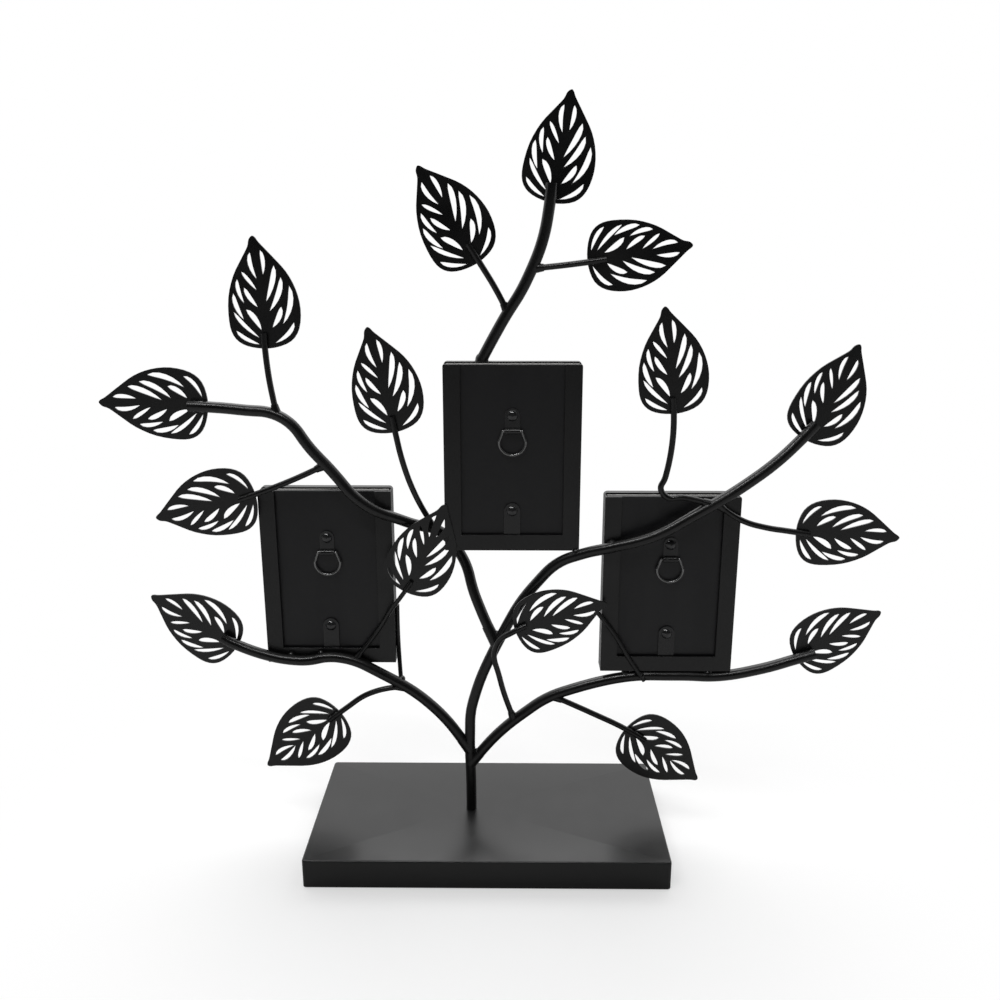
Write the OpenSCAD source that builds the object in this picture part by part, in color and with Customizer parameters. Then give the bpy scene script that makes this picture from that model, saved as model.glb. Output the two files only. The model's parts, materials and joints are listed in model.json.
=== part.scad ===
// Photo tree stand: a welded rod tree with pierced leaves on a flat base,
// carrying three small portrait photo frames that show their backs towards -Y.
// Millimetres. The origin is the centre of the underside, +Z is up and +Y is the
// side that the photographs face.

/* [Base] */
// Width of the base, left to right
base_w = 201; // [180:1:240]
// Depth of the base, front to back
base_d = 102; // [80:1:130]
// Thickness of the base board
board_t = 16.5; // [12:0.5:20]
// Radius of the base's upright corners
base_corner = 2; // [1.5:0.5:8]
// Radius of the base's upper edge
base_edge = 1; // [0.5:0.1:1.2]
// Thickness of the felt sheet under the board
felt_t = 0.5; // [0.5:0.1:2]
// How far the felt stays inside the board's edge
felt_inset = 5; // [2:1:15]

/* [Rods] */
// Diameter of the trunk and of the main branches
main_d = 6; // [5.5:0.1:6]
// Diameter of the twigs that carry the smaller leaves
twig_d = 3.2; // [2.8:0.1:3.2]
// Diameter of the thin tie wires
wire_d = 2.5; // [2:0.1:2.6]
// Depth of the trunk's socket in the board
socket_depth = 6; // [4:0.5:8]

/* [Leaves] */
// Thickness of the leaf sheet
leaf_t = 1; // [0.6:0.1:1.2]
// How far a rod is pressed flat where a leaf is welded to it
seat_flat = 0.15; // [0.1:0.05:0.3]

/* [Frames] */
// Width of a frame
frame_w = 73; // [72.6:0.1:74]
// Height of a frame's side walls
frame_h = 101; // [99.5:0.1:101.5]
// Depth of a frame, from its back flanges to its face
frame_d = 11; // [10.6:0.1:12]
// How much higher the face stands than the side walls
face_rise = 0.8; // [0.4:0.1:2]
// Thickness of the frame's sheet metal
sheet_t = 1; // [0.8:0.1:1]
// Width of the flanges folded over the back at the sides
side_flange = 9; // [7:0.1:11]
// Height of the flange folded over the back at the bottom
foot_flange = 8.8; // [7:0.1:9.2]
// Width of the opening that shows the photograph
window_w = 60; // [54:0.5:62]
// Height of the opening that shows the photograph
window_h = 87; // [80:0.5:88]

/* [Frame contents] */
// Width of the print
print_w = 70; // [68:0.5:70.4]
// Height of the print
print_h = 100; // [98:0.5:101]
// Thickness of the glass
glass_t = 1.5; // [1:0.1:1.5]
// Thickness of the backing plate
backing_t = 2; // [1.6:0.1:2]
// Height of the ring strap's rivet above the frame's foot
strap_z = 74; // [70:0.5:75]
// Height of the turn clip's rivet above the frame's foot
clip_z = 22; // [19:0.5:22]
// Wire diameter of the hanging ring
ring_wire = 1.4; // [1.2:0.1:1.4]

/* [Hidden] */

black = [0.08, 0.08, 0.085];
black_base = [0.12, 0.12, 0.125];
grey_felt = [0.2, 0.2, 0.2];
steel = [0.62, 0.63, 0.65];
paper = [0.9, 0.88, 0.84];
clear = [0.75, 0.85, 0.85, 0.4];

// Cutters reach past the face that they open by this much
over = 1;
// Gap left before each bend joint, bridged by a core a little thinner than the rod
joint_gap = 0.05;
core_less = 0.06;
core_length = 1;
// Bends wider than this radius are drawn straight
straight_radius = 600;
// The weld round a foot narrows from the first to the second of these times the rod
twig_weld = [1.7, 1.2];
main_weld = [1.15, 1.08];

base_top = felt_t + board_t;

// Routes and places count their heights from this far under the base's top
route_level = 16;
tree_lift = base_top - route_level;

// Places of the three frames: middle of the foot of the back face
middle = [13.5, -4, 177.7];
left = [-89.2, 3, 108];
right = [99.8, -6, 107.5];

// Layers inside a frame, measured from the back face
backing_y = 2.2;
print_t = 0.3;
print_y = backing_y + backing_t + 0.15;
glass_y = print_y + print_t + 0.1;
lip_y = glass_y + glass_t + 0.05;
inner_w = frame_w - 2 * sheet_t;
rest_z = sheet_t + 0.2;
backing_w = inner_w - 0.4;
backing_h = frame_h - rest_z - 0.3;
window_z = (frame_h + face_rise - window_h) / 2;
corner_r = 2;

// Ring strap, ring, turn clip and rivets
strap_w = 8;
strap_t = 0.77;
loop_r = 1.55;
ring_fit = 0.05;
ring_y = backing_y - loop_r;
ring_z = strap_z - 8.2;
ring_bar = 5;
ring_half_w = 7.1;
ring_side = 5.5;
ring_drop = 13;
clip_w = 9;
clip_t = 0.8;
clip_y = backing_y - clip_t - 0.1;
clip_tail_z = 7;
rivet_r = 1.25;
rivet_fit = 0.05;
rivet_head_r = 3;
rivet_head_h = 1.5;

// Trunk screw from below
screw_r = 1.45;
screw_bore_r = 1.5;
screw_head_r = 3;
screw_head_h = 1.6;
screw_up = 9;
foot_x = -10;
foot_z = base_top - socket_depth;

// Rod routes: points on each rod's centre line, from its foot to its leaf
trunk_route = [
    [foot_x, 0, route_level], [foot_x, 0, 30], [-10.5, 0, 64], [-9.8, 0, 79], [-6.3, 0, 93],
    [5, 0, 120.5], [24.6, -1, 154.8], [40, -2, 170.6], [52.8, -5, 176.5], [67.5, -9.05, 181.3],
    [87.3, -11, 187.4], [113, -11, 201.5], [133.4, -11, 214.5], [153.2, -11, 230.3],
    [164, -10, 241], [171, -10, 249],
];
upper_left_route = [
    [5, 0, 120.5], [-6.5, 5, 146.3], [-14.7, 10.1, 169.8], [-23, 10.1, 181.5], [-45.5, 2, 192.5],
    [-62.5, -2, 200.5], [-89.7, -2, 228.6], [-111, -2, 251.7], [-131, -2, 254.7], [-157.5, -2, 256.5],
];
crown_route = [
    [-3.9, 5.7, 278], [7.6, 5.7, 299.1], [20.1, 6, 319.9], [29.5, 6.5, 344.1], [31.8, 6.5, 357.1],
    [33, 6.5, 368.7],
];
lower_left_route = [
    [-10.3, 0, 54], [-30.2, 0, 80.5], [-41.3, 0, 90.4], [-54, -0.05, 98.7], [-86, -0.05, 112.5],
    [-107, -0.05, 110.5], [-138, -0.05, 118], [-150.5, -0.05, 124.5],
];
lower_right_route = [
    [-10.4, 0, 45.5], [10.2, 0, 69.3], [20.8, -0.3, 78.4], [32, -0.6, 86.8], [54, -2.4, 96.5],
    [80, -3.8, 103.2], [108, -4, 104], [131, -4, 103.8], [155, -4, 108.5], [175.5, -4, 115],
    [183.5, -4, 117.5],
];
twig_02_route = [[11, 5.7, 304.4], [3.9, 5.6, 317.8], [-2.1, 5.6, 327.4], [-9.7, 5.6, 339.1]];
twig_03_route = [[24, 6.1, 326.9], [43.2, 5.6, 328.9], [61.5, 5.6, 331.4]];
twig_04_route = [[-111, -2, 252], [-114.5, -2, 278], [-115, -2, 294.5]];
twig_06_route = [
    [-27, 9.2, 183.5], [-32.6, 5.8, 193.1], [-41.2, 0.3, 213.1], [-46, -2, 230], [-48.2, -2, 240.5],
    [-50.2, -2, 251],
];
twig_07_route = [[-87, -2, 224.8], [-106, -2, 216], [-125.5, -2, 208.5], [-134.5, -2, 205.5]];
twig_09_route = [
    [-76, 0, 110.3], [-61, 1.3, 130], [-52, -3.4, 145], [-47.5, -6, 151.6], [-41.5, -6.2, 160.3],
];
twig_10_route = [[-47.5, 0, 94.2], [-67, 0, 90.5], [-84.9, 0, 78.4], [-92.2, 0, 72.6]];
twig_11_route = [
    [15, 0, 74], [7, -4, 101], [4, -6, 119.5], [8, -9.4, 128.5], [13, -11.7, 132.5], [21.5, -11.8, 137],
];
twig_12_route = [[37.5, -1, 89.3], [60.7, -2.5, 79], [76.4, -3, 71.4], [90.8, -3, 62.6]];
twig_13_route = [
    [119.5, -11, 205.7], [104, -11, 209.6], [94.5, -11, 210.2], [92, -11, 213.5], [94, -11, 221],
    [96.8, -11, 240.5], [96, -11, 262.5],
];
twig_15_route = [
    [121.5, -11, 206.6], [138, -10.3, 196], [150, -9.7, 192.6], [161, -9.3, 190.8], [173, -9.3, 189],
];
tie_left_route = [[-49.5, 0, 95.5], [-50.8, 5, 108], [-51.6, 8, 120], [-51.6, 8, 141.5]];
tie_right_route = [[88, -7, 102.2], [80, -7.7, 114], [70.5, -7.9, 130], [60.5, -8.25, 143.5]];

// Leaves: tip x, tip z, direction of the tip in degrees, size, pattern, route, rod diameter
leaf_places = [
    [42.3, 412.9, 78.5, 0.96, "plain", crown_route, main_d],
    [-34.9, 376.9, 120, 0.99, "plain", twig_02_route, twig_d],
    [105.7, 338.6, 6, 0.96, "plain", twig_03_route, twig_d],
    [-118.5, 343, 93.5, 1, "plain", twig_04_route, twig_d],
    [-206, 258, 176.5, 1.02, "plain", upper_left_route, main_d],
    [-62, 297.5, 102.5, 1, "plain", twig_06_route, twig_d],
    [-181, 194.5, 191.5, 1, "plain", twig_07_route, twig_d],
    [-189.5, 148, 144, 0.98, "plain", lower_left_route, main_d],
    [-22.2, 203.8, 64, 0.97, "plain", twig_09_route, wire_d],
    [-130, 42.5, 218, 1, "double", twig_10_route, twig_d],
    [65.5, 149.5, 20, 0.93, "turned", twig_11_route, twig_d],
    [122.5, 36.5, 323, 0.96, "double", twig_12_route, twig_d],
    [90, 308.5, 97, 0.97, "plain", twig_13_route, twig_d],
    [190.5, 289.5, 65, 0.97, "plain", trunk_route, main_d],
    [221.5, 186.5, -2, 0.98, "turned", twig_15_route, twig_d],
    [219, 141.5, 33, 0.94, "turned", lower_right_route, main_d],
];

// Outline of a leaf, clockwise from its tip
leaf_outline = [
    [0, 0], [1.5, -1], [3, -3.4], [8.7, -10.3], [15.1, -18.6], [19, -27.6], [20.4, -37.5],
    [18.6, -47.5], [13.7, -53.7], [5, -56.5], [-4, -56.2], [-11.5, -53.7], [-15.8, -49],
    [-17.1, -41.5], [-15.9, -29.6], [-12, -19], [-6.5, -10.5], [-3, -5.2], [-1.9, -1.8],
];
// Right half of the outline of a leaf with two fine halves, from its tip down
even_outline = [
    [0, 0], [1.5, -1], [3, -3.6], [8, -10], [14.5, -18.6], [18.6, -27.6], [20, -37.5],
    [18.6, -46.5], [14, -52.5], [5, -55.7],
];
outline_steps = 3;

// Slots of a leaf's broad half and fine half: outer end, bend, inner end and width
broad_slots = [
    [[3.2, -7.2], [4.8, -12], [3.2, -19.6], 2.2],
    [[9.2, -15], [9, -22], [3.1, -33.1], 2.9],
    [[12.1, -21], [11.8, -29], [4.3, -37.9], 2.9],
    [[15.9, -25.5], [17.5, -35], [10.5, -44.8], 2.9],
    [[10.6, -35.8], [9.8, -41], [4.8, -46.2], 2.8],
    [[16.3, -44.1], [15, -50], [5.5, -54.1], 2.2],
];
fine_slots = [
    [[-2.1, -7.9], [-4.2, -13], [-0.2, -21.4], 2.3],
    [[-7.7, -17.2], [-5, -21], [-0.9, -26.9], 1.9],
    [[-10.3, -20.7], [-11.5, -26], [-8.2, -33.1], 2.2],
    [[-7.3, -25.1], [-6, -30], [-1.4, -35.5], 2.4],
    [[-13.2, -27.6], [-13.6, -34], [-9.4, -41.3], 2.5],
    [[-7.7, -36.2], [-3.5, -40], [-0.9, -47.2], 2.9],
    [[-14.3, -36.9], [-11, -44], [-2.4, -51], 2.1],
    [[-14.2, -46.5], [-11, -51.5], [-2.7, -54.3], 2.1],
];
slot_steps = 6;

// Vector at length one
function unit(v) = v / norm(v);

// Direction in which an arc from p0 along t0 arrives at p1
function arrival(p0, t0, p1) = let (v = unit(p1 - p0)) 2 * (t0 * v) * v - t0;

// Direction of a route at point i: along the circle through its neighbours
function heading(p, i) =
    let (n = len(p))
    i == 0 ? unit(2 * unit(p[1] - p[0]) - unit(p[2] - p[0]))
    : i == n - 1 ? unit(2 * unit(p[n - 1] - p[n - 2]) - unit(p[n - 1] - p[n - 3]))
    : let (a = p[i] - p[i - 1], b = p[i + 1] - p[i]) unit(a / (a * a) + b / (b * b));

// Point where the two arcs that join two points of a route meet
function arc_joint(p0, t0, p1, t1) =
    let (
        v = p1 - p0,
        b = v * (t0 + t1),
        a = 2 * (1 - t0 * t1),
        reach = a < 1e-6 ? v * v / (2 * b) : (sqrt(b * b + a * (v * v)) - b) / a
    )
    (p0 + p1 + reach * (t0 - t1)) / 2;

// Mirrored copies, for points and for slots
function flip(p) = [-p[0], p[1]];
function flip_slots(slots) = [for (s = slots) [flip(s[0]), flip(s[1]), flip(s[2]), s[3]]];

// Point on the smooth closed curve through p, on its stretch i at t from 0 to 1
function on_curve(p, i, t) =
    let (
        n = len(p),
        a = p[(i + n - 1) % n],
        b = p[i],
        c = p[(i + 1) % n],
        d = p[(i + 2) % n]
    )
    (2 * b + (c - a) * t + (2 * a - 5 * b + 4 * c - d) * t * t
        + (3 * b - a - 3 * c + d) * t * t * t) / 2;

// Point on a slot's edge: t runs along the slot, side is 1 or -1
function on_slot(s, t, side) =
    let (
        u = 1 - t,
        centre = u * u * s[0] + 2 * u * t * s[1] + t * t * s[2],
        along = unit(u * (s[1] - s[0]) + t * (s[2] - s[1])),
        half = s[3] / 2 * pow(sin(180 * pow(t, 0.85)), 0.7)
    )
    centre + side * half * [-along[1], along[0]];

// Face of the flat on a rod's end, on which its leaf lies
function seat_y(p, d) = p[len(p) - 1][1] + d / 2 - seat_flat;

function slot_outline(s) = concat(
    [s[0]],
    [for (k = [1:slot_steps - 1]) on_slot(s, k / slot_steps, 1)],
    [s[2]],
    [for (k = [slot_steps - 1:-1:1]) on_slot(s, k / slot_steps, -1)]
);

// Places its children with their own x, y and z axes turned to the given ones
module on_axes(x, y, z, at) {
    multmatrix([
        [x[0], y[0], z[0], at[0]],
        [x[1], y[1], z[1], at[1]],
        [x[2], y[2], z[2], at[2]],
        [0, 0, 0, 1],
    ])
        children();
}

// Round bar of diameter d that leaves p0 along t0 and arrives at p1 on one arc
module bent_bar(p0, t0, p1, d) {
    v = p1 - p0;
    n = cross(t0, v);
    bend = 2 * norm(n) / (v * v);
    if (bend < 1 / straight_radius) {
        z = unit(v);
        x = unit(cross(z, abs(z[1]) < 0.9 ? [0, 1, 0] : [1, 0, 0]));
        on_axes(x, cross(z, x), z, p0)
            translate([0, 0, joint_gap])
                cylinder(d = d, h = norm(v) - 2 * joint_gap, $fn = 24);
    } else {
        z = unit(n);
        x = cross(t0, z);
        sweep = 2 * atan2(norm(n), t0 * v);
        gap = joint_gap * bend * 180 / PI;
        on_axes(x, t0, z, p0 - x / bend)
            rotate([0, 0, gap])
                rotate_extrude(angle = sweep - 2 * gap, $fn = 180)
                    translate([1 / bend, 0])
                        circle(d = d, $fn = 24);
    }
}

// Core that bridges the joint of two bends at a point
module core(at, along, d) {
    z = unit(along);
    x = unit(cross(z, abs(z[1]) < 0.9 ? [0, 1, 0] : [1, 0, 0]));
    on_axes(x, cross(z, x), z, at)
        cylinder(d = d - core_less, h = core_length, center = true, $fn = 24);
}

// Rod of diameter d along the points first to last of a route
module rod(p, d, first = 0, last = 99) {
    end = min(last, len(p) - 1);
    for (i = [first:end - 1]) {
        t0 = heading(p, i);
        t1 = heading(p, i + 1);
        m = arc_joint(p[i], t0, p[i + 1], t1);
        bent_bar(p[i], t0, m, d);
        bent_bar(p[i + 1], -t1, m, d);
        core(m, arrival(p[i], t0, m), d);
        if (i > first)
            core(p[i], t0, d);
    }
}

// Weld bead: a ball at a point
module bead(at, d) {
    translate(at)
        sphere(d = d, $fn = 32);
}

// Weld round a rod's foot: a cone that narrows along the rod between two distances
module foot_weld(p, d, weld, from, to) {
    z = heading(p, 0);
    x = unit(cross(z, [0, 1, 0]));
    on_axes(x, cross(z, x), z, p[0] + from * z)
        cylinder(d1 = weld[0] * d, d2 = weld[1] * d, h = to - from, $fn = 32);
}

// Everything behind the flat on which a leaf lies, near the end of its rod
module leaf_seat(p, d, reach = 10) {
    end = p[len(p) - 1];
    translate([end[0] - reach, seat_y(p, d), end[2] - reach])
        cube([2 * reach, 8, 2 * reach]);
}

// Places its children in the frame of one photo frame
module at_frame(place) {
    translate(place)
        children();
}

// Outer box of a photo frame, taken out of the rods that touch it
module frame_box(place) {
    at_frame(place)
        translate([-frame_w / 2, 0, 0])
            cube([frame_w, frame_d, frame_h + face_rise]);
}

// A twig, cut to sit on its parent rod and to carry its leaf
module twig(p, d, parent, first, last, reach = 10, weld_from = 0, weld_to = 5.5) {
    color(black)
        difference() {
            union() {
                rod(p, d);
                foot_weld(p, d, twig_weld, weld_from, weld_to);
            }
            rod(parent, main_d, first, last);
            leaf_seat(p, d, reach);
        }
}

// Raises its children with the base's top
module lifted() {
    translate([0, 0, tree_lift])
        children();
}

module base_board() {
    color(black_base)
        difference() {
            hull()
                for (x = [-1, 1], y = [-1, 1])
                    translate([x * (base_w / 2 - base_corner), y * (base_d / 2 - base_corner), felt_t])
                        rotate_extrude($fn = 48)
                            polygon(concat(
                                [[0, 0], [base_corner, 0]],
                                [for (a = [0:15:90]) [
                                    base_corner - base_edge * (1 - cos(a)),
                                    board_t - base_edge * (1 - sin(a)),
                                ]],
                                [[0, board_t]]
                            ));
            translate([foot_x, 0, foot_z])
                cylinder(r = main_d / 2 + 0.05, h = socket_depth + over, $fn = 48);
            translate([foot_x, 0, 0])
                cylinder(r = screw_r + 0.1, h = foot_z + over, $fn = 48);
            translate([foot_x, 0, felt_t - over])
                cylinder(r = screw_head_r + 0.1, h = screw_head_h + 0.1 + over, $fn = 48);
        }
}

module felt_sheet() {
    color(grey_felt)
        difference() {
            translate([-base_w / 2 + felt_inset, -base_d / 2 + felt_inset, 0])
                cube([base_w - 2 * felt_inset, base_d - 2 * felt_inset, felt_t]);
            translate([foot_x, 0, -over])
                cylinder(r = screw_head_r + 1, h = felt_t + 2 * over, $fn = 48);
        }
}

module trunk_screw() {
    color(steel)
        difference() {
            union() {
                translate([foot_x, 0, felt_t])
                    cylinder(r = screw_head_r, h = screw_head_h, $fn = 48);
                translate([foot_x, 0, felt_t])
                    cylinder(r = screw_r, h = foot_z - felt_t + screw_up, $fn = 48);
            }
            for (turn = [0, 90])
                translate([foot_x, 0, felt_t - over])
                    rotate([0, 0, turn])
                        translate([-1.8, -0.35, 0])
                            cube([3.6, 0.7, over + 0.9]);
        }
}

module trunk_rod() {
    color(black)
        difference() {
            union() {
                rod(trunk_route, main_d);
                translate([foot_x, 0, route_level - socket_depth])
                    cylinder(d = main_d, h = socket_depth - joint_gap, $fn = 24);
                core([foot_x, 0, route_level], [0, 0, 1], main_d);
                bead([48.5, -4, 176.9], 4.6);
                bead([67.5, -7.6, 182.6], 5.6);
            }
            translate([foot_x, 0, route_level - socket_depth - over])
                cylinder(r = screw_bore_r, h = over + screw_up + 0.5, $fn = 48);
            frame_box(middle);
            frame_box(right);
            leaf_seat(trunk_route, main_d);
        }
}

module upper_left_branch() {
    color(black)
        difference() {
            union() {
                rod(upper_left_route, main_d);
                foot_weld(upper_left_route, main_d, main_weld, 0, 12);
                bead([-19, 9, 179], 5);
                bead([-54, 1.5, 196], 5);
            }
            rod(trunk_route, main_d, 4, 6);
            frame_box(middle);
            frame_box(left);
            leaf_seat(upper_left_route, main_d);
        }
}

module crown_branch() {
    color(black)
        difference() {
            union() {
                rod(crown_route, main_d);
                bead([-2.7, 6.2, 280.3], 7);
            }
            at_frame(middle)
                translate([-30, -over, frame_h + face_rise - 10])
                    cube([30, frame_d + 5, 10]);
            leaf_seat(crown_route, main_d);
        }
}

module lower_left_branch() {
    color(black)
        difference() {
            union() {
                rod(lower_left_route, main_d);
                foot_weld(lower_left_route, main_d, main_weld, 0, 9);
                bead([-95, 1.6, 114.3], 4);
                bead([-112, 1.6, 113.1], 4);
            }
            rod(trunk_route, main_d, 1, 3);
            frame_box(left);
            leaf_seat(lower_left_route, main_d);
        }
}

module lower_right_branch() {
    color(black)
        difference() {
            union() {
                rod(lower_right_route, main_d);
                foot_weld(lower_right_route, main_d, main_weld, 0, 9);
                bead([78, -3.5, 105.4], 5);
                bead([124, -4, 105.4], 5);
            }
            rod(trunk_route, main_d, 1, 3);
            frame_box(right);
            leaf_seat(lower_right_route, main_d);
        }
}

module tie_wires() {
    color(black)
        difference() {
            union() {
                rod(tie_left_route, wire_d);
                bead(tie_left_route[0] + [0, 1.5, 3], wire_d * twig_weld[0]);
                rod(tie_right_route, wire_d);
                bead(tie_right_route[0] + [-1.6, 0.2, 2.8], wire_d * twig_weld[0] - 0.6);
            }
            rod(lower_left_route, main_d, 1, 4);
            rod(lower_right_route, main_d, 4, 7);
            frame_box(left);
            translate([40, seat_y(twig_11_route, twig_d), 120])
                cube([27, leaf_t, 40]);
        }
}

// Leaf i, tip at its place, lying behind its rod's flat
module leaf(i) {
    place = leaf_places[i - 1];
    s = place[3];
    edge = place[4] == "double"
        ? concat(even_outline, [for (k = [len(even_outline) - 1:-1:1]) flip(even_outline[k])])
        : leaf_outline;
    other_slots = place[4] == "double" ? flip_slots(fine_slots) : broad_slots;
    turned = place[4] == "turned" ? -1 : 1;
    color(black)
        translate([place[0], seat_y(place[5], place[6]) + leaf_t, place[1]])
            rotate([0, 90 - place[2], 0])
                rotate([90, 0, 0])
                    linear_extrude(leaf_t)
                        difference() {
                            polygon([for (k = [0:len(edge) - 1], j = [0:outline_steps - 1])
                                let (p = on_curve(edge, k, j / outline_steps)) s * [turned * p[0], p[1]]]);
                            for (slot = concat(fine_slots, other_slots))
                                polygon([for (p = slot_outline(slot)) s * [turned * p[0], p[1]]]);
                        }
}

module frame_shell(place) {
    top = frame_h + face_rise;
    hollow_d = frame_d - sheet_t - lip_y;
    lip_w = window_w + 2 * sheet_t;
    lip_h = window_h + 2 * sheet_t;
    color(black)
        at_frame(place)
            difference() {
                union() {
                    translate([-frame_w / 2, 0, 0])
                        cube([frame_w, lip_y, frame_h]);
                    translate([-frame_w / 2, lip_y, 0])
                        cube([frame_w, frame_d - lip_y, top]);
                }
                translate([-inner_w / 2, sheet_t, sheet_t])
                    cube([inner_w, lip_y - sheet_t, top]);
                translate([side_flange - frame_w / 2, -over, foot_flange])
                    cube([frame_w - 2 * side_flange, sheet_t + 2 * over, top]);
                translate([-window_w / 2, lip_y - over, window_z])
                    cube([window_w, frame_d, window_h]);
                difference() {
                    translate([-inner_w / 2, lip_y - 0.5, sheet_t])
                        cube([inner_w, hollow_d + 0.5, top - 2 * sheet_t]);
                    translate([-lip_w / 2, lip_y - over, window_z - sheet_t])
                        cube([lip_w, frame_d, lip_h]);
                }
                for (side = [-1, 1])
                    translate([side * (frame_w / 2 - corner_r), -over, top - corner_r])
                        difference() {
                            translate([side > 0 ? 0 : -corner_r - over, 0, 0])
                                cube([corner_r + over, frame_d + 2 * over, corner_r + over]);
                            rotate([-90, 0, 0])
                                cylinder(r = corner_r, h = frame_d + 2 * over, $fn = 48);
                        }
            }
}

module glass(place) {
    color(clear)
        at_frame(place)
            translate([-backing_w / 2, glass_y, rest_z])
                cube([backing_w, glass_t, frame_h - rest_z + 0.2]);
}

module photo_print(place) {
    color(paper)
        at_frame(place)
            translate([-print_w / 2, print_y, rest_z])
                cube([print_w, print_t, print_h]);
}

module backing(place) {
    color(black)
        at_frame(place)
            difference() {
                translate([-backing_w / 2, backing_y, rest_z])
                    cube([backing_w, backing_t, backing_h]);
                for (z = [strap_z, clip_z])
                    translate([0, backing_y - over, z])
                        rotate([-90, 0, 0])
                            cylinder(r = rivet_r + rivet_fit, h = backing_t + 2 * over, $fn = 48);
            }
}

module ring_strap(place) {
    color(black)
        at_frame(place)
            difference() {
                union() {
                    translate([-strap_w / 2, backing_y - strap_t, ring_z])
                        cube([strap_w, strap_t, strap_z - ring_z]);
                    translate([0, backing_y - strap_t, strap_z])
                        rotate([-90, 0, 0])
                            cylinder(d = strap_w, h = strap_t, $fn = 48);
                    translate([-strap_w / 2, ring_y, ring_z])
                        rotate([0, 90, 0])
                            cylinder(r = loop_r, h = strap_w, $fn = 48);
                }
                translate([-strap_w / 2 - over, ring_y, ring_z])
                    rotate([0, 90, 0])
                        cylinder(r = ring_wire / 2 + ring_fit, h = strap_w + 2 * over, $fn = 48);
                translate([0, backing_y - strap_t - over, strap_z])
                    rotate([-90, 0, 0])
                        cylinder(r = rivet_r + rivet_fit, h = strap_t + 2 * over, $fn = 48);
            }
}

// Hanging ring: a straight bar in the strap's loop, two spread sides and a round foot
module hanging_ring(place) {
    round_h = ring_drop - ring_side;
    round_r = (ring_half_w * ring_half_w + round_h * round_h) / (2 * round_h);
    half_turn = 2 * atan(round_h / ring_half_w);
    spread = ring_half_w - ring_bar;
    side_l = norm([spread, ring_side]);
    gap = joint_gap / round_r * 180 / PI;
    color(steel)
        at_frame(place)
            translate([0, ring_y, ring_z]) {
                translate([-ring_bar + joint_gap, 0, 0])
                    rotate([0, 90, 0])
                        cylinder(d = ring_wire, h = 2 * (ring_bar - joint_gap), $fn = 24);
                for (side = [-1, 1]) {
                    translate([side * ring_bar, 0, 0])
                        rotate([0, side * (180 - atan(spread / ring_side)), 0])
                            translate([0, 0, joint_gap])
                                cylinder(d = ring_wire, h = side_l - 2 * joint_gap, $fn = 24);
                    bead([side * ring_bar, 0, 0], ring_wire + core_less);
                    bead([side * ring_half_w, 0, -ring_side], ring_wire + core_less);
                }
                translate([0, 0, round_r - ring_drop])
                    rotate([90, 0, 0])
                        rotate([0, 0, 270 - half_turn + gap])
                            rotate_extrude(angle = 2 * (half_turn - gap), $fn = 96)
                                translate([round_r, 0])
                                    circle(d = ring_wire, $fn = 24);
            }
}

module turn_clip(place) {
    color(black)
        at_frame(place)
            difference() {
                union() {
                    translate([-clip_w / 2, clip_y, clip_tail_z])
                        cube([clip_w, clip_t, clip_z - clip_tail_z]);
                    translate([0, clip_y, clip_z])
                        rotate([-90, 0, 0])
                            cylinder(d = clip_w, h = clip_t, $fn = 48);
                }
                translate([0, clip_y - over, clip_z])
                    rotate([-90, 0, 0])
                        cylinder(r = rivet_r + rivet_fit, h = clip_t + 2 * over, $fn = 48);
            }
}

// Domed rivet whose head sits on the face at y
module rivet(y, z) {
    dome_r = (rivet_head_r * rivet_head_r + rivet_head_h * rivet_head_h) / (2 * rivet_head_h);
    translate([0, y, z])
        rotate([-90, 0, 0]) {
            difference() {
                translate([0, 0, dome_r - rivet_head_h])
                    sphere(r = dome_r, $fn = 64);
                translate([-dome_r - over, -dome_r - over, 0])
                    cube(2 * (dome_r + over));
            }
            cylinder(r = rivet_r, h = backing_y + backing_t - y, $fn = 48);
        }
}

module rivets(place) {
    color(steel)
        at_frame(place) {
            rivet(backing_y - strap_t, strap_z);
            rivet(clip_y - 0.05, clip_z);
        }
}

base_board();
felt_sheet();
trunk_screw();
lifted() trunk_rod();
lifted() upper_left_branch();
lifted() crown_branch();
lifted() lower_left_branch();
lifted() lower_right_branch();
lifted() twig(twig_02_route, twig_d, crown_route, 0, 3, 12);  // twig_02
lifted() twig(twig_03_route, twig_d, crown_route, 1, 4);  // twig_03
lifted() twig(twig_04_route, twig_d, upper_left_route, 6, 8);  // twig_04
lifted() twig(twig_06_route, twig_d, upper_left_route, 2, 5, 14, 3, 10);  // twig_06
lifted() twig(twig_07_route, twig_d, upper_left_route, 5, 7);  // twig_07
lifted() twig(twig_09_route, wire_d, lower_left_route, 3, 5, 6);  // twig_09
lifted() twig(twig_10_route, twig_d, lower_left_route, 1, 3);  // twig_10
lifted() twig(twig_11_route, twig_d, lower_right_route, 0, 3, 7);  // twig_11
lifted() twig(twig_12_route, twig_d, lower_right_route, 2, 5, 14);  // twig_12
lifted() twig(twig_13_route, twig_d, trunk_route, 10, 13);  // twig_13
lifted() twig(twig_15_route, twig_d, trunk_route, 10, 13);  // twig_15
lifted() tie_wires();
lifted() leaf(1);  // leaf_01
lifted() leaf(2);  // leaf_02
lifted() leaf(3);  // leaf_03
lifted() leaf(4);  // leaf_04
lifted() leaf(5);  // leaf_05
lifted() leaf(6);  // leaf_06
lifted() leaf(7);  // leaf_07
lifted() leaf(8);  // leaf_08
lifted() leaf(9);  // leaf_09
lifted() leaf(10);  // leaf_10
lifted() leaf(11);  // leaf_11
lifted() leaf(12);  // leaf_12
lifted() leaf(13);  // leaf_13
lifted() leaf(14);  // leaf_14
lifted() leaf(15);  // leaf_15
lifted() leaf(16);  // leaf_16
lifted() frame_shell(middle);  // middle_frame
lifted() glass(middle);  // middle_glass
lifted() photo_print(middle);  // middle_print
lifted() backing(middle);  // middle_backing
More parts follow.
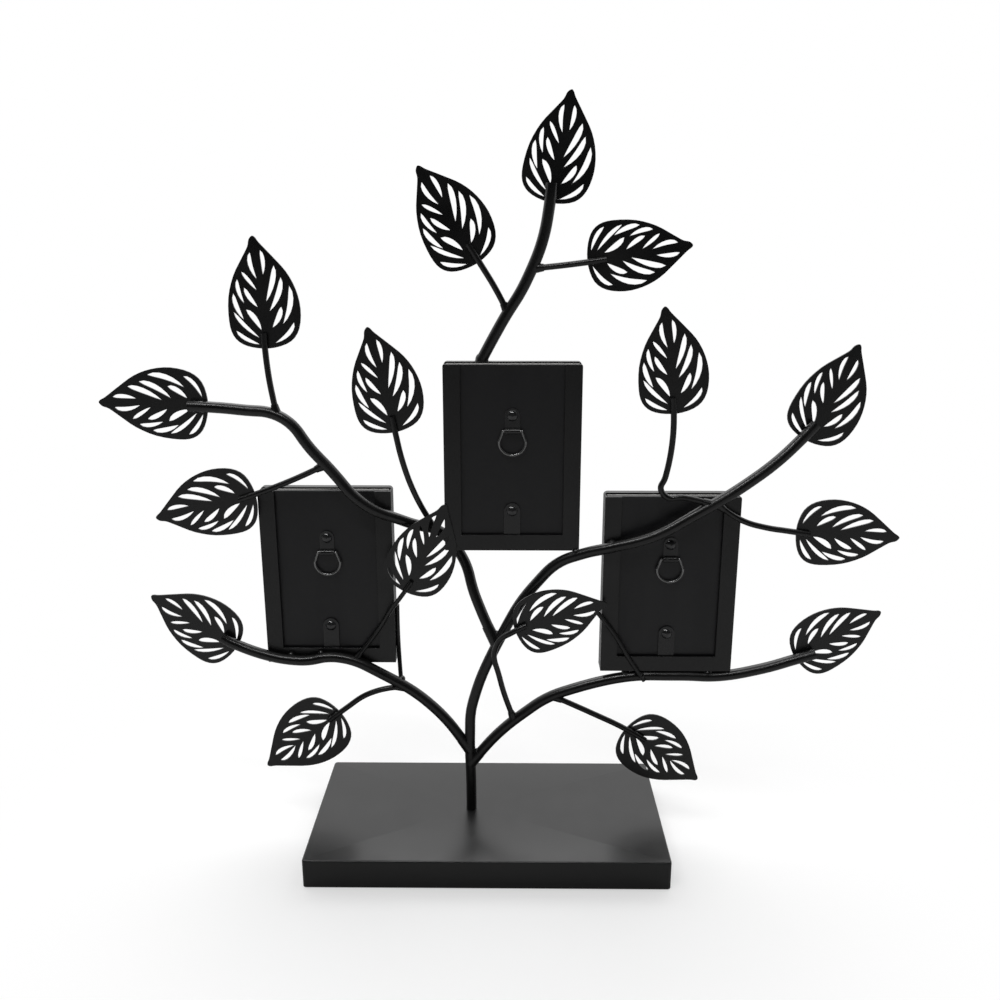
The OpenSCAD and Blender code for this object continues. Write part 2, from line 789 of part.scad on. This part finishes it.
lifted() ring_strap(middle);  // middle_ring_strap
lifted() hanging_ring(middle);  // middle_ring
lifted() turn_clip(middle);  // middle_clip
lifted() rivets(middle);  // middle_rivets
lifted() frame_shell(left);  // left_frame
lifted() glass(left);  // left_glass
lifted() photo_print(left);  // left_print
lifted() backing(left);  // left_backing
lifted() ring_strap(left);  // left_ring_strap
lifted() hanging_ring(left);  // left_ring
lifted() turn_clip(left);  // left_clip
lifted() rivets(left);  // left_rivets
lifted() frame_shell(right);  // right_frame
lifted() glass(right);  // right_glass
lifted() photo_print(right);  // right_print
lifted() backing(right);  // right_backing
lifted() ring_strap(right);  // right_ring_strap
lifted() hanging_ring(right);  // right_ring
lifted() turn_clip(right);  // right_clip
lifted() rivets(right);  // right_rivets
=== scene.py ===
"""Photo tree stand: finishes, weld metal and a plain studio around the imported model."""

import json
import logging
import math
from dataclasses import dataclass, field
from enum import Enum
from typing import Iterable, Sequence

import bmesh
import bpy
from mathutils import Matrix, Vector, noise

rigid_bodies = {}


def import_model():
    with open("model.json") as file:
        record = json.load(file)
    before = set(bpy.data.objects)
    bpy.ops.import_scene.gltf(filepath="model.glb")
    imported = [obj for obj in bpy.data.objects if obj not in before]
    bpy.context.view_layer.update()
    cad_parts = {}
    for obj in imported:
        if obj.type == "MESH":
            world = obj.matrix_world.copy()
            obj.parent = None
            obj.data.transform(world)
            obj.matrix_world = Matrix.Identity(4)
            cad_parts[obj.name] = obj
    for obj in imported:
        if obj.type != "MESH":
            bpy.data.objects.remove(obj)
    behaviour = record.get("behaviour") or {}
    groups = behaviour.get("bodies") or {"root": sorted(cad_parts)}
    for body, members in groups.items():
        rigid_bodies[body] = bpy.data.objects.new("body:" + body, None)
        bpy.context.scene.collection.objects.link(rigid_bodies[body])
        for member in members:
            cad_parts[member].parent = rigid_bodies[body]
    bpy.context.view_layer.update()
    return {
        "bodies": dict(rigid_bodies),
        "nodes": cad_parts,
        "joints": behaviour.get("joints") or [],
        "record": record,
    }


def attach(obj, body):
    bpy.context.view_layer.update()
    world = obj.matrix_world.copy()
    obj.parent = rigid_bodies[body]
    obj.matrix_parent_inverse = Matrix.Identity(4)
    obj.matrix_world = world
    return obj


LOG = logging.getLogger("photo_tree_stand")
MM = 0.001
STAND = "stand"
# Noise seldom leaves this span, so that colour and gloss are stretched over it
NOISE_LOW, NOISE_HIGH = 0.3, 0.7
# Size of the broad patches in grains
PATCH_GRAINS = 24
COAT_ROUGHNESS = 0.12
# Wear starts and is full at these cosines between the true and the rounded normal
WEAR_STARTS, WEAR_FULL = 0.98, 0.8
# Inputs and output of a colour mix node
MIX_SHARE, MIX_FIRST, MIX_SECOND, MIX_RESULT = 0, 6, 7, 2
Node = bpy.types.Node
Point = tuple[float, float, float]


class Grain(Enum):
    """What breaks up a finish's surface."""

    ORANGE_PEEL = "orange_peel"
    FIBRE = "fibre"
    NAP = "nap"
    DRAWN = "drawn"


@dataclass(frozen=True)
class Finish:
    """A surface finish, from which one material is made.

    Colours are linear, and lengths are in metres.
    """

    name: str
    colour: tuple[float, float, float]
    roughness: float
    grain: Grain = Grain.ORANGE_PEEL
    grain_size: float = 0.9 * MM
    grain_height: float = 0.012 * MM
    tone_spread: float = 0.25
    gloss_spread: float = 0.06
    metallic: float = 0.0
    specular: float = 0.5
    coat: float = 0.0
    sheen: float = 0.0
    wear: float = 0.02
    wear_reach: float = 0.35 * MM

    def material(self) -> bpy.types.Material:
        """Make the finish's node material.

        Returns:
            The material, with its colour, gloss and relief from noise.
        """
        mat = bpy.data.materials.new(self.name)
        mat.use_nodes = True
        tree = mat.node_tree
        shader = tree.nodes["Principled BSDF"]
        shader.inputs["Metallic"].default_value = self.metallic
        shader.inputs["Specular IOR Level"].default_value = self.specular
        shader.inputs["Coat Weight"].default_value = self.coat
        shader.inputs["Coat Roughness"].default_value = COAT_ROUGHNESS
        shader.inputs["Sheen Weight"].default_value = self.sheen
        place = tree.nodes.new("ShaderNodeTexCoord").outputs["Object"]
        fine = self._noise(tree, place, 1 / self.grain_size, 3.0)
        broad = self._noise(tree, place, 1 / (PATCH_GRAINS * self.grain_size), 2.0)
        self._tone(tree, shader, broad, fine)
        self._gloss(tree, shader, broad)
        bump = tree.nodes.new("ShaderNodeBump")
        bump.inputs["Strength"].default_value = 1.0
        bump.inputs["Distance"].default_value = self.grain_height
        tree.links.new(fine, bump.inputs["Height"])
        tree.links.new(bump.outputs["Normal"], shader.inputs["Normal"])
        return mat

    def _noise(
        self,
        tree: bpy.types.NodeTree,
        place: bpy.types.NodeSocket,
        scale: float,
        detail: float,
    ) -> bpy.types.NodeSocket:
        """Add one noise field.

        Args:
            tree: the material's nodes.
            place: the coordinates to read.
            scale: lumps per metre.
            detail: octaves of smaller lumps.

        Returns:
            The field's output, 0 to 1.
        """
        stretch = tree.nodes.new("ShaderNodeMapping")
        stretch.inputs["Scale"].default_value = {
            Grain.ORANGE_PEEL: (1.0, 1.0, 1.0),
            Grain.FIBRE: (1.0, 1.0, 0.25),
            Grain.NAP: (1.0, 1.0, 1.0),
            Grain.DRAWN: (1.0, 1.0, 0.06),
        }[self.grain]
        field_node = tree.nodes.new("ShaderNodeTexNoise")
        field_node.inputs["Scale"].default_value = scale
        field_node.inputs["Detail"].default_value = detail
        field_node.inputs["Roughness"].default_value = 0.55
        tree.links.new(place, stretch.inputs["Vector"])
        tree.links.new(stretch.outputs["Vector"], field_node.inputs["Vector"])
        return field_node.outputs["Fac"]

    def _tone(
        self,
        tree: bpy.types.NodeTree,
        shader: Node,
        broad: bpy.types.NodeSocket,
        fine: bpy.types.NodeSocket,
    ) -> None:
        """Vary the colour in broad patches and fine grain, paler on worn edges.

        Args:
            tree: the material's nodes.
            shader: the surface shader.
            broad: the broad noise.
            fine: the fine noise.
        """
        both = tree.nodes.new("ShaderNodeMath")
        both.operation = "MULTIPLY_ADD"
        both.inputs[1].default_value = 0.5
        halved = tree.nodes.new("ShaderNodeMath")
        halved.operation = "MULTIPLY"
        halved.inputs[1].default_value = 0.5
        tree.links.new(fine, halved.inputs[0])
        tree.links.new(broad, both.inputs[0])
        tree.links.new(halved.outputs[0], both.inputs[2])
        ramp = tree.nodes.new("ShaderNodeValToRGB")
        low, high = ramp.color_ramp.elements
        low.position, high.position = NOISE_LOW, NOISE_HIGH
        low.color = (*(c * (1 - self.tone_spread) for c in self.colour), 1.0)
        high.color = (*(c * (1 + self.tone_spread) for c in self.colour), 1.0)
        tree.links.new(both.outputs[0], ramp.inputs["Fac"])
        worn = tree.nodes.new("ShaderNodeMix")
        worn.data_type = "RGBA"
        worn.inputs[MIX_SECOND].default_value = (*(c + self.wear for c in self.colour), 1.0)
        tree.links.new(self._worn_edge(tree, fine), worn.inputs[MIX_SHARE])
        tree.links.new(ramp.outputs["Color"], worn.inputs[MIX_FIRST])
        tree.links.new(worn.outputs[MIX_RESULT], shader.inputs["Base Color"])

    def _worn_edge(
        self, tree: bpy.types.NodeTree, fine: bpy.types.NodeSocket
    ) -> bpy.types.NodeSocket:
        """Find the surface near sharp edges, broken up by the fine noise.

        Args:
            tree: the material's nodes.
            fine: the fine noise.

        Returns:
            How worn the surface is, 0 to 1.
        """
        rounded = tree.nodes.new("ShaderNodeBevel")
        rounded.samples = 4
        rounded.inputs["Radius"].default_value = self.wear_reach
        true = tree.nodes.new("ShaderNodeNewGeometry").outputs["Normal"]
        turn = tree.nodes.new("ShaderNodeVectorMath")
        turn.operation = "DOT_PRODUCT"
        edge = tree.nodes.new("ShaderNodeMapRange")
        edge.inputs["From Min"].default_value = WEAR_STARTS
        edge.inputs["From Max"].default_value = WEAR_FULL
        chips = tree.nodes.new("ShaderNodeMath")
        chips.operation = "MULTIPLY"
        tree.links.new(rounded.outputs["Normal"], turn.inputs[0])
        tree.links.new(true, turn.inputs[1])
        tree.links.new(turn.outputs["Value"], edge.inputs["Value"])
        tree.links.new(edge.outputs["Result"], chips.inputs[0])
        tree.links.new(fine, chips.inputs[1])
        return chips.outputs[0]

    def _gloss(
        self, tree: bpy.types.NodeTree, shader: Node, broad: bpy.types.NodeSocket
    ) -> None:
        """Vary the roughness in broad patches.

        Args:
            tree: the material's nodes.
            shader: the surface shader.
            broad: the broad noise.
        """
        span = tree.nodes.new("ShaderNodeMapRange")
        span.inputs["From Min"].default_value = NOISE_LOW
        span.inputs["From Max"].default_value = NOISE_HIGH
        span.inputs["To Min"].default_value = self.roughness - self.gloss_spread
        span.inputs["To Max"].default_value = self.roughness + self.gloss_spread
        tree.links.new(broad, span.inputs["Value"])
        tree.links.new(span.outputs["Result"], shader.inputs["Roughness"])


@dataclass(frozen=True)
class GlassFinish:
    """Clear float glass with a faint green body."""

    name: str = "clear_glass"
    colour: tuple[float, float, float] = (0.93, 0.97, 0.95)
    roughness: float = 0.02
    smear_size: float = 14 * MM

    def material(self) -> bpy.types.Material:
        """Make the glass material.

        Returns:
            The material, with slight smears in its gloss.
        """
        mat = bpy.data.materials.new(self.name)
        mat.use_nodes = True
        tree = mat.node_tree
        shader = tree.nodes["Principled BSDF"]
        shader.inputs["Base Color"].default_value = (*self.colour, 1.0)
        shader.inputs["Transmission Weight"].default_value = 1.0
        shader.inputs["IOR"].default_value = 1.5
        place = tree.nodes.new("ShaderNodeTexCoord").outputs["Object"]
        smear = tree.nodes.new("ShaderNodeTexNoise")
        smear.inputs["Scale"].default_value = 1 / self.smear_size
        span = tree.nodes.new("ShaderNodeMapRange")
        span.inputs["To Min"].default_value = self.roughness
        span.inputs["To Max"].default_value = 3 * self.roughness
        tree.links.new(place, smear.inputs["Vector"])
        tree.links.new(smear.outputs["Fac"], span.inputs["Value"])
        tree.links.new(span.outputs["Result"], shader.inputs["Roughness"])
        return mat


ROD_COAT = Finish("rod_powder_coat", (0.004, 0.004, 0.0042), 0.3)
LEAF_COAT = Finish("leaf_powder_coat", (0.0042, 0.0042, 0.0044), 0.3, tone_spread=0.35)
FRAME_COAT = Finish(
    "frame_powder_coat", (0.0045, 0.0045, 0.0047), 0.34, grain_height=0.008 * MM
)
WELD_COAT = Finish(
    "coated_weld", (0.0065, 0.0065, 0.0068), 0.3, grain_size=0.6 * MM, grain_height=0.03 * MM
)
BASE_LACQUER = Finish(
    "base_lacquer",
    (0.0062, 0.0062, 0.0064),
    0.31,
    grain_size=0.5 * MM,
    grain_height=0.0025 * MM,
    tone_spread=0.12,
    gloss_spread=0.03,
)
HARDBOARD = Finish(
    "black_hardboard",
    (0.0046, 0.0046, 0.0056),
    0.42,
    grain=Grain.FIBRE,
    grain_size=0.7 * MM,
    grain_height=0.015 * MM,
    tone_spread=0.2,
)
CLIP_BLACK = Finish("clip_black", (0.011, 0.011, 0.0115), 0.24, grain_size=0.6 * MM)
RING_BLACK = Finish(
    "ring_black", (0.2, 0.2, 0.2), 0.2, metallic=0.8, grain=Grain.DRAWN, grain_size=0.5 * MM
)
RIVET_BLACK = Finish("rivet_black", (0.02, 0.02, 0.021), 0.16, coat=0.5, grain_size=0.8 * MM)
SCREW_STEEL = Finish(
    "screw_steel", (0.42, 0.42, 0.43), 0.3, metallic=1.0, grain=Grain.DRAWN, tone_spread=0.1
)
FELT_GREY = Finish(
    "felt",
    (0.03, 0.03, 0.031),
    0.95,
    grain=Grain.NAP,
    grain_size=0.35 * MM,
    grain_height=0.12 * MM,
    tone_spread=0.5,
    sheen=0.4,
    specular=0.2,
)
PRINT_PAPER = Finish(
    "print_paper",
    (0.8, 0.79, 0.77),
    0.5,
    grain=Grain.FIBRE,
    grain_size=0.4 * MM,
    grain_height=0.004 * MM,
    tone_spread=0.03,
)


class Workshop:
    """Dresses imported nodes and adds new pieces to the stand."""

    def __init__(self, frame: dict) -> None:
        """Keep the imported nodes.
        """
        self.nodes: dict[str, bpy.types.Object] = frame["nodes"]
        self.made: dict[str, bpy.types.Material] = {}

    def finish(self, look: Finish | GlassFinish) -> bpy.types.Material:
        """Return a finish's material, made once.

        Args:
            look: the finish.

        Returns:
            Its material.
        """
        if look.name not in self.made:
            self.made[look.name] = look.material()
        return self.made[look.name]

    def dress(self, name: str, look: Finish | GlassFinish) -> bpy.types.Object:
        """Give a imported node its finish.

        Args:
            name: the node.
            look: its finish.

        Returns:
            The node's object.
        """
        obj = self.nodes[name]
        obj.data.materials.clear()
        obj.data.materials.append(self.finish(look))
        LOG.info("dressed %s with %s", name, look.name)
        return obj

    def soften(self, obj: bpy.types.Object, split_angle: float = 32.0) -> None:
        """Shade a bent or round node smoothly, with crisp edges where it is cut.

        Args:
            obj: the node's object.
            split_angle: degrees beyond which an edge stays crisp.
        """
        self._join(obj)
        obj.data.polygons.foreach_set("use_smooth", [True] * len(obj.data.polygons))
        crisp = obj.modifiers.new("crisp_cuts", "EDGE_SPLIT")
        crisp.split_angle = math.radians(split_angle)

    def round_edges(self, obj: bpy.types.Object, radius: float, segments: int = 2) -> None:
        """Round a sheet or plate node's edges as a coating does.

        Args:
            obj: the node's object.
            radius: the edge radius in metres.
            segments: faces across the rounding.
        """
        self._join(obj)
        flat = obj.modifiers.new("flat_faces", "DECIMATE")
        flat.decimate_type = "DISSOLVE"
        flat.angle_limit = math.radians(0.5)
        edge = obj.modifiers.new("coated_edges", "BEVEL")
        edge.width = radius
        edge.segments = segments
        edge.limit_method = "ANGLE"
        edge.angle_limit = math.radians(50)

    def _join(self, obj: bpy.types.Object) -> None:
        """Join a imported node's loose triangles."""
        join = obj.modifiers.new("joined", "WELD")
        join.merge_threshold = 0.002 * MM

    def add(
        self, name: str, mesh: bmesh.types.BMesh, look: Finish, slot: str, body: str
    ) -> bpy.types.Object:
        """Turn a built mesh into a piece of the stand.

        Args:
            name: the piece's name.
            mesh: its mesh, in place, which is freed.
            look: its finish.
            slot: the record's material slot; not used.
            body: the body that it rides on.

        Returns:
            The new piece.
        """
        bmesh.ops.recalc_face_normals(mesh, faces=mesh.faces)
        data = bpy.data.meshes.new(name)
        mesh.to_mesh(data)
        mesh.free()
        data.polygons.foreach_set("use_smooth", [True] * len(data.polygons))
        data.materials.append(self.finish(look))
        obj = bpy.data.objects.new(name, data)
        bpy.context.scene.collection.objects.link(obj)
        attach(obj, body)
        LOG.info("added %s on %s", name, body)
        return obj


@dataclass
class Base:
    """The flat base with its felt and trunk screw."""

    shop: Workshop

    def build(self) -> None:
        """Dress the base's three nodes."""
        board = self.shop.dress("base_board", BASE_LACQUER)
        self.shop.soften(board, 24)
        self.shop.dress("felt_sheet", FELT_GREY)
        screw = self.shop.dress("trunk_screw", SCREW_STEEL)
        self.shop.soften(screw)


@dataclass(frozen=True)
class Weld:
    """A run of weld metal: its middle, its direction and its size in millimetres."""

    name: str
    at: Point
    along: Point
    radius: float
    length: float


@dataclass
class Tree:
    """The welded rods, with lumpy weld metal where they join."""

    shop: Workshop
    rods: Sequence[str] = (
        "trunk_rod",
        "upper_left_branch",
        "crown_branch",
        "lower_left_branch",
        "lower_right_branch",
        "tie_wires",
    )
    twigs: Sequence[int] = (2, 3, 4, 6, 7, 9, 10, 11, 12, 13, 15)
    ripple_height: float = 0.22
    ripple_count: int = 7
    ripple_share: float = 0.5
    lump_height: float = 0.35
    lump_scale: float = 1.8
    size_swing: float = 0.35
    welds: Sequence[Weld] = field(
        default_factory=lambda: (
            Weld("left_fork", (-13.3, -0.2, 61.6), (-0.3, 0, 0.95), 1.9, 3.2),
            Weld("right_fork", (-7.4, -0.2, 53.2), (0.3, 0, 0.95), 1.9, 3.2),
            Weld("upper_fork", (5.2, 0.4, 127.2), (0.06, 0.08, 1), 2.0, 2.6),
        )
    )

    def build(self) -> None:
        """Dress the rods and add the weld metal."""
        for name in (*self.rods, *(f"twig_{n:02d}" for n in self.twigs)):
            self.shop.soften(self.shop.dress(name, ROD_COAT))
        for weld in self.welds:
            self.lay(weld)

    def lay(self, weld: Weld) -> bpy.types.Object:
        """Lay one run of weld metal.

        Args:
            weld: where it lies and how big it is.

        Returns:
            The weld's piece.
        """
        mesh = bmesh.new()
        bmesh.ops.create_icosphere(mesh, subdivisions=4, radius=1.0)
        middle, along = Vector(weld.at), Vector(weld.along).normalized()
        turn = along.to_track_quat("Z", "Y").to_matrix().to_4x4()
        for vert in mesh.verts:
            place = vert.co.copy()
            ripple = math.sin(self.ripple_count * math.pi * place.z) * self.ripple_height
            lump = noise.noise(place * self.lump_scale + middle) * self.lump_height
            size = 1 + (ripple * self.ripple_share + lump) * self.size_swing
            vert.co = Vector(
                (
                    place.x * weld.radius * size,
                    place.y * weld.radius * size,
                    place.z * weld.length * size,
                )
            )
        bmesh.ops.transform(
            mesh,
            matrix=Matrix.Scale(MM, 4) @ Matrix.Translation(middle) @ turn,
            verts=mesh.verts,
        )
        return self.shop.add(f"weld_{weld.name}", mesh, WELD_COAT, "rod", STAND)


@dataclass
class Leaves:
    """The pierced sheet leaves, with coated edges."""

    shop: Workshop
    count: int = 16
    edge_radius: float = 0.22 * MM

    def build(self) -> None:
        """Dress the leaves and round their edges."""
        for number in range(1, self.count + 1):
            leaf = self.shop.dress(f"leaf_{number:02d}", LEAF_COAT)
            self.shop.round_edges(leaf, self.edge_radius)


@dataclass
class PhotoFrame:
    """One photo frame with its glass, print, back and hardware."""

    shop: Workshop
    place: str
    fold_radius: float = 0.35 * MM
    plate_radius: float = 0.2 * MM

    def build(self) -> None:
        """Dress the frame's eight nodes."""
        shell = self.shop.dress(f"{self.place}_frame", FRAME_COAT)
        self.shop.round_edges(shell, self.fold_radius, 3)
        self.shop.dress(f"{self.place}_glass", GlassFinish())
        self.shop.dress(f"{self.place}_print", PRINT_PAPER)
        back = self.shop.dress(f"{self.place}_backing", HARDBOARD)
        self.shop.round_edges(back, self.plate_radius)
        clip = self.shop.dress(f"{self.place}_clip", CLIP_BLACK)
        self.shop.round_edges(clip, self.plate_radius)
        for part, look in (
            ("ring_strap", CLIP_BLACK),
            ("ring", RING_BLACK),
            ("rivets", RIVET_BLACK),
        ):
            self.shop.soften(self.shop.dress(f"{self.place}_{part}", look))


@dataclass(frozen=True)
class Lamp:
    """A soft rectangular lamp: its place, its two sides in metres and its power in watts."""

    name: str
    at: Point
    size: tuple[float, float]
    power: float


@dataclass
class Studio:
    """The white floor, the lamps, the world and the camera."""

    eye: Point = (0.0114, -0.4858, 0.3345)
    pitch: float = 14.8
    yaw: float = 0.53
    lens: float = 33.37
    floor_size: float = 8.0
    floor_white: float = 0.92
    floor_bounce: float = 0.4
    dark_side: float = 0.02
    bright_side: float = 1.0
    # The wall brightens between these values of a direction's Y
    wall_starts: float = -0.35
    wall_full: float = 0.25
    # The floor turns to plain white between these distances, from this share on
    fade_starts: float = 0.08
    fade_full: float = 0.32
    fade_share: float = 0.45
    lit_point: Point = (0, 0, 0.2)
    lamps: Sequence[Lamp] = (
        Lamp("top_lamp", (0.0, 0.75, 1.4), (1.5, 1.0), 12),
        Lamp("strip_lamp", (-0.25, -0.65, 1.3), (1.2, 0.1), 7.5),
        Lamp("right_lamp", (1.3, 0.3, 0.8), (0.3, 1.2), 0.7),
    )

    def build(self) -> None:
        """Set up the whole studio."""
        self.camera()
        self.floor()
        self.world()
        for lamp in self.lamps:
            self.hang(lamp)
        bpy.context.scene.view_settings.view_transform = "Standard"

    def camera(self) -> None:
        """Place the camera at the photograph's viewpoint."""
        data = bpy.data.cameras.new("photo_camera")
        data.lens = self.lens
        data.sensor_width = 36.0
        data.clip_start = 0.01
        camera = bpy.data.objects.new("photo_camera", data)
        camera.location = self.eye
        camera.rotation_euler = (math.radians(90 - self.pitch), 0, math.radians(self.yaw))
        bpy.context.scene.collection.objects.link(camera)
        bpy.context.scene.camera = camera

    def floor(self) -> None:
        """Lay a white floor that keeps a soft shadow near the base."""
        mesh = bmesh.new()
        bmesh.ops.create_grid(mesh, x_segments=1, y_segments=1, size=self.floor_size / 2)
        data = bpy.data.meshes.new("floor")
        mesh.to_mesh(data)
        mesh.free()
        floor = bpy.data.objects.new("floor", data)
        bpy.context.scene.collection.objects.link(floor)
        data.materials.append(self.floor_material())

    def floor_material(self) -> bpy.types.Material:
        """Make the floor's material.

        Returns:
            White that receives shadow near the base and is plain white further off. Only
            the camera sees it white: a darker tint lights and mirrors in the stand.
        """
        mat = bpy.data.materials.new("studio_floor")
        mat.use_nodes = True
        tree = mat.node_tree
        tree.nodes.clear()
        out = tree.nodes.new("ShaderNodeOutputMaterial")
        mix = tree.nodes.new("ShaderNodeMixShader")
        matt = tree.nodes.new("ShaderNodeBsdfDiffuse")
        tint = tree.nodes.new("ShaderNodeMapRange")
        tint.inputs["To Min"].default_value = self.floor_bounce
        tint.inputs["To Max"].default_value = self.floor_white
        white = tree.nodes.new("ShaderNodeEmission")
        place = tree.nodes.new("ShaderNodeTexCoord")
        far = tree.nodes.new("ShaderNodeVectorMath")
        far.operation = "LENGTH"
        fade = tree.nodes.new("ShaderNodeMapRange")
        fade.interpolation_type = "SMOOTHSTEP"
        fade.inputs["From Min"].default_value = self.fade_starts
        fade.inputs["From Max"].default_value = self.fade_full
        fade.inputs["To Min"].default_value = self.fade_share
        ray = tree.nodes.new("ShaderNodeLightPath")
        seen = tree.nodes.new("ShaderNodeMath")
        seen.operation = "MULTIPLY"
        links = tree.links
        links.new(place.outputs["Object"], far.inputs[0])
        links.new(far.outputs["Value"], fade.inputs["Value"])
        links.new(fade.outputs["Result"], seen.inputs[0])
        links.new(ray.outputs["Is Camera Ray"], seen.inputs[1])
        links.new(ray.outputs["Is Camera Ray"], tint.inputs["Value"])
        links.new(tint.outputs["Result"], matt.inputs["Color"])
        links.new(seen.outputs[0], mix.inputs["Fac"])
        links.new(matt.outputs[0], mix.inputs[1])
        links.new(white.outputs[0], mix.inputs[2])
        links.new(mix.outputs[0], out.inputs["Surface"])
        return mat

    def world(self) -> None:
        """Light the room: a white wall behind the stand and a dim room before it."""
        world = bpy.data.worlds.new("studio_room")
        bpy.context.scene.world = world
        world.use_nodes = True
        tree = world.node_tree
        room = tree.nodes["Background"]
        out = tree.nodes["World Output"]
        white = tree.nodes.new("ShaderNodeBackground")
        white.inputs["Color"].default_value = (1, 1, 1, 1)
        mix = tree.nodes.new("ShaderNodeMixShader")
        ray = tree.nodes.new("ShaderNodeLightPath")
        direct = tree.nodes.new("ShaderNodeMath")
        direct.operation = "MAXIMUM"
        place = tree.nodes.new("ShaderNodeTexCoord")
        axes = tree.nodes.new("ShaderNodeSeparateXYZ")
        depth = tree.nodes.new("ShaderNodeMapRange")
        depth.interpolation_type = "SMOOTHSTEP"
        depth.inputs["From Min"].default_value = self.wall_starts
        depth.inputs["From Max"].default_value = self.wall_full
        depth.inputs["To Min"].default_value = self.dark_side
        depth.inputs["To Max"].default_value = self.bright_side
        links = tree.links
        links.new(place.outputs["Generated"], axes.inputs[0])
        links.new(axes.outputs["Y"], depth.inputs["Value"])
        links.new(depth.outputs["Result"], room.inputs["Strength"])
        room.inputs["Color"].default_value = (1, 1, 1, 1)
        links.new(ray.outputs["Is Camera Ray"], direct.inputs[0])
        links.new(ray.outputs["Is Transmission Ray"], direct.inputs[1])
        links.new(direct.outputs[0], mix.inputs["Fac"])
        links.new(room.outputs[0], mix.inputs[1])
        links.new(white.outputs[0], mix.inputs[2])
        links.new(mix.outputs[0], out.inputs["Surface"])

    def hang(self, lamp: Lamp) -> None:
        """Hang a lamp that faces the lit point.

        Args:
            lamp: the lamp.
        """
        data = bpy.data.lights.new(lamp.name, "AREA")
        data.shape = "RECTANGLE"
        data.size, data.size_y = lamp.size
        data.energy = lamp.power
        hung = bpy.data.objects.new(lamp.name, data)
        hung.location = lamp.at
        aim = Vector(self.lit_point) - Vector(lamp.at)
        hung.rotation_euler = aim.to_track_quat("-Z", "Y").to_euler()
        bpy.context.scene.collection.objects.link(hung)


def main() -> None:
    """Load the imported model, dress it and light it."""
    logging.basicConfig(level=logging.INFO, format="%(name)s: %(message)s")
    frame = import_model()
    shop = Workshop(frame)
    parts: list[Base | Tree | Leaves | PhotoFrame | Studio] = [
        Studio(),
        Base(shop),
        Tree(shop),
        Leaves(shop),
        PhotoFrame(shop, "middle"),
        PhotoFrame(shop, "left"),
        PhotoFrame(shop, "right"),
    ]
    for part in parts:
        part.build()
        LOG.info("built %s", type(part).__name__)


if __name__ == "__main__":
    main()
